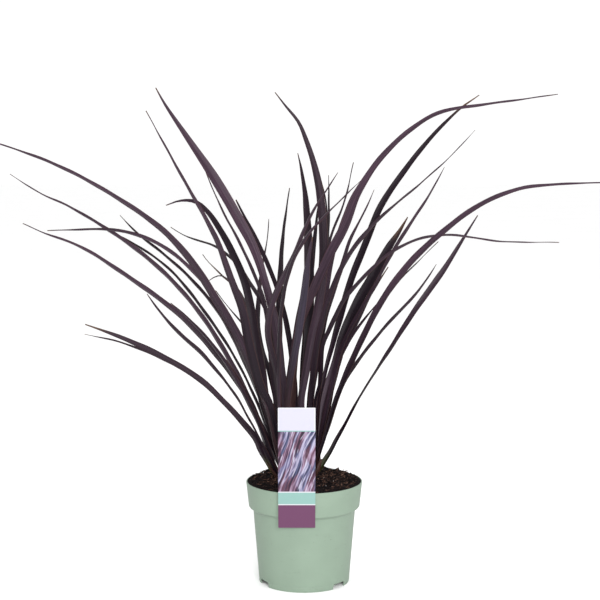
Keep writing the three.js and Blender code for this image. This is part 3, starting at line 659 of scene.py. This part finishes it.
grow_shoot("far_left_shoot", "fan_far_left", (-28, 2), (-14, -2), [
    leaf("low upper", (SOOT, SHADE, WINE, WINE, WINE, MAUVE), (15, 25, 25), -60, dry=0.06, green=1,
         width=(6.5, 9.5, 8, 6.5, 7.5, 7, 7, 4.5, 1.2),
         course=[(-37, 126), (-43, 137), (-49, 148), (-54, 160), (-71, 182), (-88, 201),
                 (-116, 228), (-160, 255), (-205, 276), (-243, 290)]),
    leaf("low lower", (SHADE, MAUVE, MAUVE, WINE, WINE), (50, 60), -40, dry=0.01, green=0.5,
         width=(5, 6.5, 7, 7, 6, 5, 4.5, 3.5, 1.2),
         course=[(-45, 143), (-55, 159), (-70, 181), (-116, 227), (-160, 252), (-205, 270),
                 (-244, 279)]),
    leaf("left neck", (SOOT, SOOT, SHADE, WINE, WINE), (60, 55, 35), -100, dry=0.01,
         width=(8, 5, 4, 4.5, 5, 7, 6, 3.5, 1.2),
         course=[(-46, 152), (-51, 162), (-56, 172), (-64, 187), (-73, 204), (-83, 219),
                 (-116, 259), (-138, 279), (-160, 304), (-174, 324)]),
    leaf("left long", (SOOT, SOOT, SHADE, MAUVE, PLUM, PLUM, PLUM), (35, 40, 60), -20, dry=0.01,
         width=(9.5, 8, 10, 10.5, 8, 7.5, 6.5, 4.5, 1.2),
         course=[(-43, 152), (-52, 180), (-63, 206), (-94, 252), (-138, 300), (-204, 349),
                 (-247, 376), (-291, 393), (-310, 402)]),
    leaf("left tucked", (SOOT, INK, WINE, WINE, WINE), (50, 50), -48, dry=0.01,
         width=(7, 7.5, 8, 7.5, 6, 4.5, 1.2),
         course=[(-43, 156), (-64, 205), (-96, 259), (-127, 295), (-148, 314)]),
], girth=0.6)

grow_shoot("left_back_shoot", "fan_left_back", (-23, 19), (-6, 2), [
    leaf("left kinked", (SOOT, MAUVE, PLUM, PLUM, PLUM), (5, 50, 55, 50), 100, dry=0.01,
         width=(7.5, 8.5, 8.5, 8.5, 8, 8.5, 6, 3, 1.2),
         course=[(-38, 153), (-57, 193), (-78, 239), (-111, 295), (-148, 340), (-192, 378),
                 (-258, 420), (-290, 435), (-323, 456)]),
    leaf("left black", (INK, SHADE, SOOT, SOOT, INK), (15, 60, 60, 60), 125, dry=0.01,
         width=(5.5, 6.5, 5, 5.5, 7, 7, 5.5, 5, 1.2),
         course=[(-37, 159), (-54, 204), (-76, 250), (-104, 294), (-148, 350), (-189, 380),
                 (-216, 394)]),
    leaf("left grey tip", (INK, SOOT, WINE, WINE, SOOT, SOOT), (50, 50), 150, dry=0.02,
         width=(6, 8, 7, 8, 7.5, 6, 5, 4.5, 1.2),
         course=[(-35, 160), (-45, 192), (-58, 227), (-91, 297), (-126, 341), (-159, 371),
                 (-183, 390), (-203, 411)]),
    leaf("left level", (INK, INK, WINE, DUSK, DUSK, MAUVE, MAUVE), (50, 50), 70, dry=0.01,
         width=(6, 7.5, 7.5, 8, 7.5, 6.5, 6.5, 4, 1.2),
         course=[(-36, 160), (-47, 193), (-56, 225), (-86, 295), (-108, 332), (-148, 371),
                 (-181, 388), (-214, 395), (-247, 395), (-283, 394)]),
    leaf("dry curl", (INK, SHADE, RUSSET, RUSSET), (55, 55), 120, dry=0.14,
         width=(5, 5.5, 7, 6.5, 6, 5.5, 5, 3, 1.2),
         course=[(-33, 171), (-40, 202), (-43, 232), (-47, 261), (-71, 326), (-91, 345),
                 (-106, 360), (-112, 368)]),
    leaf("hooked curl", (INK, SHADE, MAUVE, MAUVE), (45, 60), 92, dry=0.02,
         width=(5, 6, 7.5, 7.5, 7, 6.5, 6, 4, 1.2),
         course=[(-35, 171), (-42, 202), (-46, 233), (-51, 261), (-67, 319), (-80, 335),
                 (-89, 344), (-97, 344), (-105, 339)]),
    leaf("left sliver", (INK, SHADE, SHADE), (60, 60), 74, dry=0.01,
         width=(5, 5, 5, 6, 5, 3, 1.2),
         course=[(-33, 171), (-40, 205), (-49, 256), (-66, 288), (-82, 307), (-98, 328)]),
    leaf("upright sliver", (INK, WINE, WINE), (30, 40, 55), 150, dry=0.01,
         width=(6, 5.5, 5.5, 6, 7.5, 8, 6, 2.5, 1.2),
         course=[(-31, 188), (-32, 205), (-35, 220), (-40, 242), (-46, 261), (-50, 280),
                 (-51, 301), (-47, 348), (-40, 389), (-39, 407)]),
])

grow_shoot("front_shoot", "fan_front", (-21, -15), (-6, -3), [
    leaf("left arch", (RUSSET, WINE, MAUVE, PLUM, PLUM), (35, 35, 50), -64, dry=0.01,
         width=(9, 9, 11, 12, 10, 7.5, 5.5, 4.5, 1.2),
         course=[(-33, 153), (-40, 189), (-49, 216), (-72, 272), (-98, 317), (-126, 361),
                 (-158, 396), (-224, 441), (-279, 469), (-348, 494)]),
    leaf("tall thin", (INK, INK, SOOT, MAUVE, PLUM, PLUM), (20, 30, 55), -74, dry=0.01,
         width=(7.5, 9, 11.5, 11.5, 9.5, 7.5, 5, 3.5, 1.2),
         course=[(-33, 173), (-40, 201), (-49, 219), (-62, 269), (-69, 306), (-83, 345),
                 (-97, 384), (-137, 458), (-173, 525)]),
    leaf("tall broad", (WINE, WINE, MAUVE, PLUM, PLUM, PLUM), (20, 15, 0), -48, dry=0.01,
         width=(10, 8.5, 11, 10, 8.7, 11.5, 11, 6, 1.2),
         course=[(-23, 205), (-27, 245), (-31, 284), (-41, 328), (-55, 373), (-72, 406),
                 (-98, 451), (-130, 499), (-152, 532), (-162, 550)]),
    leaf("cross broad", (SHADE, SOOT, SHADE, MAUVE, MAUVE, MAUVE), (35, 35, 55), -150, dry=0.01,
         width=(6.5, 6, 6.5, 8.5, 8, 8.5, 6.5, 3.5, 1.2),
         course=[(-28, 196), (-31, 234), (-37, 259), (-41, 280), (-38, 307), (-29, 331),
                 (-13, 364), (7, 411), (37, 458)]),
    leaf("cross thin", (MAUVE, MAUVE, SOOT, SHADE, MAUVE, WINE), (50, 60), -175, dry=0.01,
         width=(5.5, 5, 7, 6.5, 6.5, 7.5, 6.5, 3, 1.2),
         course=[(-29, 205), (-26, 306), (-15, 356), (4, 390), (37, 425), (62, 449)]),
    # The middle of this leaf carries a painted highlight, a blue-grey reflected sheen given as tones
    leaf("blue sheen", (MAUVE, RUSSET, SHADE, PAINTED_SHEEN, PAINTED_SHEEN, MAUVE), (45, 20), -150, dry=0.01,
         width=(7, 6.5, 8.5, 9, 9.5, 8, 1.2),
         course=[(-19, 205), (-14, 240), (-8, 273), (-1, 319), (5, 367), (9, 387)]),
    leaf("right arch", (RUSSET, RUSSET, MAUVE, PLUM, PLUM, PLUM), (20, 20, 50), -98, dry=0.01,
         width=(8, 10.5, 9, 10.5, 11, 7.5, 5.5, 3.5, 1.2),
         course=[(-13, 205), (-11, 243), (-7, 275), (-3, 294), (9, 325), (28, 367), (45, 399),
                 (59, 435), (83, 472), (116, 504), (148, 523), (192, 531), (236, 537),
                 (277, 543)]),
])

grow_shoot("left_centre_shoot", "fan_left_centre", (-8, 4), (-5, 0), [
    leaf("top hook", (WINE, WINE, SHADE, SOOT, SOOT, PLUM), (20, 15, 35), 82, dry=0.01,
         width=(9.5, 10, 11, 11.5, 10.5, 9.5, 8.5, 6, 1.2),
         course=[(-40, 192), (-46, 228), (-54, 273), (-59, 308), (-66, 339), (-86, 384),
                 (-106, 415), (-119, 426), (-137, 427), (-152, 422)]),
    leaf("behind broad", (SHADE, SHADE, WINE, MAUVE, PLUM, MAUVE), (35, 45, 50), 46, dry=0.01,
         width=(5.5, 5.5, 7.5, 8, 7.5, 5.5, 4.5, 3, 1.2),
         course=[(-31, 205), (-36, 250), (-44, 315), (-67, 373), (-90, 417), (-108, 458)]),
    leaf("dark behind", (MAUVE, MAUVE, SOOT, SOOT, SHADE, SHADE), (25, 25, 40), 60, dry=0.01,
         width=(6, 7, 7.5, 7, 6, 6, 2),
         course=[(-10, 216), (-18, 284), (-29, 328), (-47, 373), (-75, 428)]),
    leaf("upright left", (SOOT,), (35, 40, 45), 175, dry=0.01,
         width=(8.5, 8.5, 11, 11, 10.5, 10, 7, 4, 1.2),
         course=[(-25, 199), (-27, 237), (-27, 306), (-24, 378), (-20, 413), (-16, 441)]),
    leaf("left wisp", (MAUVE, MAUVE, WINE, INK), (50, 50, 60), 130, dry=0.01,
         width=(6, 7, 8.5, 8.5, 7.5, 7.5, 6, 4, 1.2),
         course=[(-26, 205), (-41, 304), (-58, 334), (-75, 359), (-98, 377), (-130, 388),
                 (-147, 398)]),
    leaf("centre strip", (RUSSET, WINE, WINE), (25, 30), 34, dry=0.01,
         width=(7, 7.5, 7, 7, 5.5, 4, 1.2),
         course=[(-18, 205), (-11, 273), (-4, 317), (0, 339)]),
])

grow_shoot("back_shoot", "fan_back", (0, 27), (1, 4), [
    leaf("back tall", (WINE,), (40, 50), 175, dry=0.01,
         width=(5.5, 6, 7.5, 7, 5.5, 3.5, 1.2),
         course=[(-1, 205), (2, 241), (10, 275), (15, 317), (28, 382), (45, 428), (54, 469)]),
    leaf("back upright", (SOOT,), (40, 50), 200, dry=0.01,
         width=(5.5, 6, 8.5, 7.5, 6, 5, 1.2),
         course=[(6, 203), (9, 228), (13, 248), (21, 328), (27, 400), (27, 455)]),
    leaf("back tucked", (INK,), (30, 35, 40), 150, dry=0.01,
         width=(6.5, 7, 8, 8, 8, 7, 2),
         course=[(-2, 222), (8, 345), (13, 397), (16, 424)]),
    leaf("back twin", (MAUVE, MAUVE, PLUM, DUSK), (20, 30, 45), 80, dry=0.01,
         width=(6, 6, 8, 10, 10, 8, 6, 4, 1.2),
         course=[(8, 203), (10, 223), (14, 249), (19, 278), (23, 317), (29, 353), (35, 380),
                 (45, 413), (53, 433), (61, 447)]),
    leaf("back cut", (INK,), (40, 45), 120, dry=0.02,
         width=(5, 6, 6.5, 6, 5, 4, 1.2),
         course=[(-1, 214), (4, 249), (11, 285), (17, 317), (25, 417), (19, 449)]),
])

grow_shoot("centre_shoot", "fan_centre", (7, -5), (2, -1), [
    leaf("centre tall", (MAUVE, MAUVE, MAUVE, SHADE, WINE, WINE), (15, 20, 25), -38, dry=0.01,
         width=(6, 8, 9, 11, 11, 10.5, 9, 5, 1.2),
         course=[(-4, 199), (-1, 223), (3, 245), (9, 278), (15, 306), (21, 367), (18, 426),
                 (12, 461), (2, 493), (-6, 512), (-21, 531), (-32, 545)]),
    leaf("centre blunt", (WINE, WINE, INK, INK, SHADE, WINE), (15, 15, 30), 60, dry=0.01,
         width=(6, 8, 9.5, 11.5, 12, 8, 1.2),
         course=[(-3, 203), (0, 225), (3, 250), (5, 284), (6, 345), (2, 428), (-3, 461),
                 (-7, 479)]),
    leaf("right grey", (SHADE, SHADE, INK, WINE, MAUVE, PLUM), (30, 40, 50), 50, dry=0.01,
         width=(4.5, 5, 5, 6, 7.5, 8, 6.5, 3.5, 1.2),
         course=[(14, 188), (17, 216), (19, 248), (20, 273), (23, 294), (28, 312), (33, 328),
                 (41, 351), (51, 384), (67, 416), (77, 439)]),
    leaf("right thin", (SOOT, SOOT, WINE, MAUVE, MAUVE, MAUVE), (30, 65), -60, dry=0.01,
         width=(5, 6.5, 9, 9, 7.5, 7.5, 4, 2.5, 1.2),
         course=[(11, 239), (21, 295), (35, 339), (54, 373), (83, 407), (127, 445), (160, 475),
                 (187, 504)]),
    leaf("right dip", (INK, INK, WINE, MAUVE, PLUM, PLUM), (40, 60), 30, dry=0.01,
         width=(4.5, 4.5, 6, 7.5, 6.5, 5, 4, 3, 1.2),
         course=[(13, 203), (18, 223), (20, 238), (20, 250), (21, 266), (28, 283), (36, 301),
                 (45, 318), (62, 338), (95, 369), (128, 385), (161, 389), (216, 382),
                 (281, 381)]),
])

grow_shoot("right_shoot", "fan_right", (9, 13), (10.5, 1), [
    leaf("right sweep", (INK, INK, WINE, PLUM, PLUM, PLUM, PLUM), (35, 35), -42, dry=0.01,
         width=(6, 6, 8.5, 8.5, 9, 7.5, 6, 3.5, 1.2),
         course=[(18, 145), (23, 160), (29, 182), (36, 205), (59, 261), (87, 317), (117, 358),
                 (150, 390), (193, 422), (237, 440), (281, 445), (338, 447)]),
    leaf("right tall", (INK, SHADE, SOOT, INK, SOOT, SOOT), (25, 25, 20), 74, dry=0.05,
         width=(6, 6, 5.5, 8.5, 9, 8.5, 7, 4.5, 1.2),
         course=[(17, 205), (22, 228), (27, 250), (32, 268), (36, 283), (40, 297), (52, 339),
                 (68, 380), (84, 420), (106, 454), (138, 495), (170, 527), (191, 542)]),
    leaf("right blunt", (RUSSET, MAUVE, PLUM, INK, INK, INK, SHADE), (20, 20, 20), 84, dry=0.06,
         width=(8.5, 10.5, 12, 12, 12, 12.5, 12, 9, 1.2),
         course=[(19, 185), (25, 211), (30, 228), (37, 250), (43, 275), (61, 317), (76, 343),
                 (92, 373), (106, 395), (114, 409)]),
    leaf("right short", (INK, SHADE, MAUVE, WINE, WINE, WINE), (45, 45), 34, dry=0.05, green=0.2,
         width=(7, 7.5, 7.5, 7, 6, 5.5, 1.2),
         course=[(29, 211), (34, 233), (41, 261), (60, 301), (93, 354)]),
    leaf("right tuck", (WINE,), (45, 45), 32, dry=0.01,
         width=(6, 6.5, 7, 6.5, 5.5, 4, 1.2),
         course=[(30, 208), (35, 237), (44, 261), (64, 292), (84, 317)]),
])

grow_shoot("right_back_shoot", "fan_right_back", (16.5, 35), (1.5, 2), [
    leaf("right slim", (SHADE, SHADE, WINE, PLUM, PLUM, PLUM), (40, 50), 110, dry=0.01,
         width=(4.5, 5.5, 7, 7, 6.5, 6.5, 6, 4, 1.2),
         course=[(16, 143), (20, 160), (25, 182), (30, 208), (35, 230), (41, 254), (48, 269),
                 (55, 284), (74, 325), (93, 362), (113, 395), (138, 434), (154, 464)]),
    leaf("right thread", (INK,), (60, 65), 6, dry=0.01,
         width=(3.5, 5.5, 5.5, 5, 4, 3, 1.2),
         course=[(18, 146), (23, 160), (28, 173), (53, 250), (97, 328), (128, 362), (148, 382)]),
    leaf("right low", (INK, INK, WINE, MAUVE, MAUVE, MAUVE), (20, 75, 15, 15), 86, dry=0.01,
         green=0.4, width=(9, 6.8, 5.5, 7.5, 7, 7, 7.5, 4.5, 1.2),
         course=[(19, 129), (24, 137), (31, 148), (37, 160), (49, 182), (60, 204), (95, 261),
                 (123, 306), (155, 352), (174, 383), (191, 411)]),
    leaf("right bend", (SHADE, SHADE, WINE, MAUVE, MAUVE), (45, 55), 108, dry=0.01,
         width=(4, 5.5, 8.5, 8, 6, 5.5, 6, 4.5, 1.2),
         course=[(17, 145), (21, 160), (29, 180), (43, 222), (69, 261), (97, 295), (118, 317),
                 (135, 339), (146, 357)]),
], girth=0.6)


# The label is one sheet of printed plastic with barely rounded corners. Its panel lies against
# the taper of the rim, and a tongue at the back bends over the rim and goes into the compost.
LABEL_LEFT, LABEL_RIGHT = -0.028, 0.012
LABEL_RISE, LABEL_DROP = 0.096, 0.0385
LABEL_LEAN = atan2(0.0028, 0.028)
LABEL_FRONT = -0.06605
LABEL_SHEET = 0.0007
LABEL_CORNER = 0.0008
HOOK_INSET = 0.013
HOOK_WIDTH = 0.014
HOOK_SHEET = 0.0006
STROKE_SLANT = -19
FRONT_FACE_AREA = 0.002
BRIDGE_HEIGHT = 0.11435
HOOK_PATH = [(-0.0658, 0.1147), (-0.0588, 0.1147), (-0.0582, 0.1145), (-0.0579, 0.1139),
             (-0.0579, 0.0905)]
WHITE_INK = (0.445, 0.445, 0.475)
HEADER_LILAC = (0.391, 0.384, 0.462)
MINT = (0.176, 0.298, 0.275)
PLUM_INK = (0.095, 0.034, 0.076)

printed = new_material("printed_label")
place = object_place(printed)
split = add_node(printed, "ShaderNodeSeparateXYZ", {"Vector": place})
height = spread(printed, split.outputs["Z"], BRIDGE_HEIGHT - LABEL_DROP * cos(LABEL_LEAN),
                BRIDGE_HEIGHT + LABEL_RISE * cos(LABEL_LEAN))
bend = speckle(printed, place, 26, detail=1)
sway = add_node(printed, "ShaderNodeMath", {0: bend, 1: 0.010}, operation="MULTIPLY")
swayed = add_node(printed, "ShaderNodeCombineXYZ", {
    "X": add_node(printed, "ShaderNodeMath", {0: split.outputs["X"], 1: sway.outputs["Value"]},
                  operation="ADD").outputs["Value"], "Z": split.outputs["Z"]})
slant = add_node(printed, "ShaderNodeMapping", {
    "Vector": swayed.outputs["Vector"], "Rotation": (0, radians(STROKE_SLANT), 0)}).outputs["Vector"]
ribbons = speckle(printed, slant, 95, detail=2, roughness=0.5, stretch=(2.0, 0, 0.26))
threads = speckle(printed, slant, 190, detail=2, roughness=0.5, stretch=(2.4, 0, 0.20))
hue = speckle(printed, slant, 62, detail=1, stretch=(1.9, 0, 0.4))
cool = ramp(printed, ribbons, (0.36, (0.018, 0.015, 0.036)), (0.44, (0.040, 0.047, 0.097)),
            (0.50, (0.092, 0.088, 0.160)), (0.56, (0.277, 0.260, 0.361)),
            (0.64, (0.101, 0.097, 0.176)))
warm = ramp(printed, ribbons, (0.36, (0.020, 0.010, 0.022)), (0.44, (0.059, 0.024, 0.040)),
            (0.50, (0.101, 0.049, 0.082)), (0.56, (0.260, 0.185, 0.260)),
            (0.64, (0.088, 0.046, 0.080)))
picture = mix(printed, spread(printed, hue, 0.47, 0.53), cool, warm)
picture = mix(printed, spread(printed, threads, 0.58, 0.63, 0.0, 0.8), picture,
              (0.353, 0.336, 0.428))
picture = mix(printed, spread(printed, threads, 0.43, 0.37, 0.0, 0.75), picture,
              (0.017, 0.010, 0.024))
bands = ramp(printed, height, (0.0, PLUM_INK), (0.188, WHITE_INK), (0.199, MINT),
             (0.294, WHITE_INK), (0.303, MINT), (0.804, MINT), (0.812, HEADER_LILAC),
             (0.990, WHITE_INK), steps=True)
in_picture = ramp(printed, height, (0.0, (0, 0, 0)), (0.304, (1, 1, 1)),
                  (0.804, (0, 0, 0)), steps=True)
colour = mix(printed, in_picture, bands, picture)
beside = add_node(printed, "ShaderNodeMath", {
    0: split.outputs["X"], 1: (LABEL_LEFT + LABEL_RIGHT) / 2}, operation="SUBTRACT")
beside = add_node(printed, "ShaderNodeMath", {0: beside.outputs["Value"]},
                  operation="ABSOLUTE")
border = spread(printed, beside.outputs["Value"], 0.0187, 0.0188)
border = add_node(printed, "ShaderNodeMath", {
    0: border, 1: spread(printed, height, 0.811, 0.812)}, operation="MULTIPLY")
colour = mix(printed, border.outputs["Value"], colour, WHITE_INK)
ink = speckle(printed, place, 900, detail=2)
set_finish(printed, Base_Color=colour,
           Roughness=spread(printed, ink, 0.3, 0.7, 0.34, 0.42), Specular_IOR_Level=0.2,
           Normal=relief(printed, ink, 0.05, 0.0001))

label_back = new_material("label_back")
fleck = speckle(label_back, object_place(label_back), 700, detail=2)
set_finish(label_back, Base_Color=ramp(label_back, fleck, (0.3, (0.50, 0.50, 0.52)),
                                       (0.7, (0.55, 0.55, 0.57))),
           Roughness=0.42, Specular_IOR_Level=0.3, Normal=relief(label_back, fleck, 0.05, 0.0001))

panel = bmesh.new()
bmesh.ops.create_grid(panel, x_segments=1, y_segments=1, size=0.5)
bmesh.ops.scale(panel, vec=(LABEL_RIGHT - LABEL_LEFT, LABEL_RISE + LABEL_DROP, 1),
                verts=panel.verts)
bmesh.ops.bevel(panel, geom=panel.verts[:], offset=LABEL_CORNER, offset_type="OFFSET", segments=6,
                profile=0.5, affect="VERTICES", material=-1)
sheet = bmesh.ops.extrude_face_region(panel, geom=panel.faces[:])["geom"]
bmesh.ops.translate(panel, vec=(0, 0, -LABEL_SHEET), verts=[
    part for part in sheet if isinstance(part, bmesh.types.BMVert)])
bmesh.ops.translate(panel, vec=(0, (LABEL_RISE - LABEL_DROP) / 2, 0), verts=panel.verts)
bmesh.ops.rotate(panel, cent=(0, 0, 0), verts=panel.verts,
                 matrix=Matrix.Rotation(pi / 2 + LABEL_LEAN, 3, "X"))
bmesh.ops.translate(panel, verts=panel.verts, vec=(
    (LABEL_LEFT + LABEL_RIGHT) / 2, LABEL_FRONT, BRIDGE_HEIGHT))
bmesh.ops.recalc_face_normals(panel, faces=panel.faces)

first = [panel.verts.new((LABEL_LEFT + HOOK_INSET, y, z)) for y, z in HOOK_PATH]
strip = [panel.edges.new(pair) for pair in zip(first, first[1:])]
across = bmesh.ops.extrude_edge_only(panel, edges=strip)["geom"]
bmesh.ops.translate(panel, vec=(HOOK_WIDTH, 0, 0), verts=[
    part for part in across if isinstance(part, bmesh.types.BMVert)])
bent = [part for part in across if isinstance(part, bmesh.types.BMFace)]
bmesh.ops.recalc_face_normals(panel, faces=bent)
bmesh.ops.solidify(panel, geom=bent, thickness=HOOK_SHEET)
for face in panel.faces:
    printed_side = face.normal.y < -0.9 and face.calc_area() > FRONT_FACE_AREA
    face.material_index = 0 if printed_side else 1
label = add_piece("plant_label", panel, printed, label_back)
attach(label, "root")
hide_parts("label")


# The floor is a plain pale studio floor under soft light: a large softbox in front and above the
# viewer, a weak one overhead, and white all round. The focal length, the offset of the picture's
# middle and the picture's size are in pixels of the photo, and the viewer looks down in degrees.
PICTURE_SIZE = 600
FOCAL_LENGTH = 1430
VANISHING_OFFSET = -4.2
SENSOR_WIDTH = 36
LOOKS_DOWN = 5.9

floor_shape = bmesh.new()
bmesh.ops.create_grid(floor_shape, x_segments=1, y_segments=1, size=20)
studio_white = new_material("studio_white")
soft = speckle(studio_white, object_place(studio_white), 3)
set_finish(studio_white, Roughness=0.9, Specular_IOR_Level=0.1,
           Base_Color=ramp(studio_white, soft, (0.3, (0.94, 0.94, 0.94)),
                           (0.7, (0.96, 0.96, 0.96))))
floor = add_piece("studio_floor", floor_shape, studio_white)

scene = bpy.context.scene
scene.view_settings.view_transform = "Standard"
scene.world = bpy.data.worlds.new("studio")
scene.world.use_nodes = True
surround = scene.world.node_tree.nodes["Background"]
surround.inputs["Color"].default_value = (1, 1, 1, 1)
surround.inputs["Strength"].default_value = 1.05


def add_softbox(name, place, size, power):
    """A square soft light that points at the middle of the plant"""
    light = bpy.data.lights.new(name, "AREA")
    light.size, light.energy = size, power
    lamp = bpy.data.objects.new(name, light)
    lamp.location = place
    lamp.rotation_euler = (Vector((0, 0, 0.2)) - Vector(place)).to_track_quat("-Z", "Y").to_euler()
    bpy.context.collection.objects.link(lamp)


add_softbox("softbox_front", (0.35, -2.5, 1.0), 0.9, 70)
add_softbox("softbox_top", (0.1, 0.6, 2.2), 1.2, 6)

view = bpy.data.cameras.new("camera")
view.sensor_width = SENSOR_WIDTH
view.lens = SENSOR_WIDTH * FOCAL_LENGTH / PICTURE_SIZE
view.shift_x = VANISHING_OFFSET / PICTURE_SIZE
view.clip_start, view.clip_end = 0.05, 30
camera = bpy.data.objects.new("camera", view)
camera.location = EYE
camera.rotation_euler = (radians(90 - LOOKS_DOWN), 0, 0)
bpy.context.collection.objects.link(camera)
scene.camera = camera
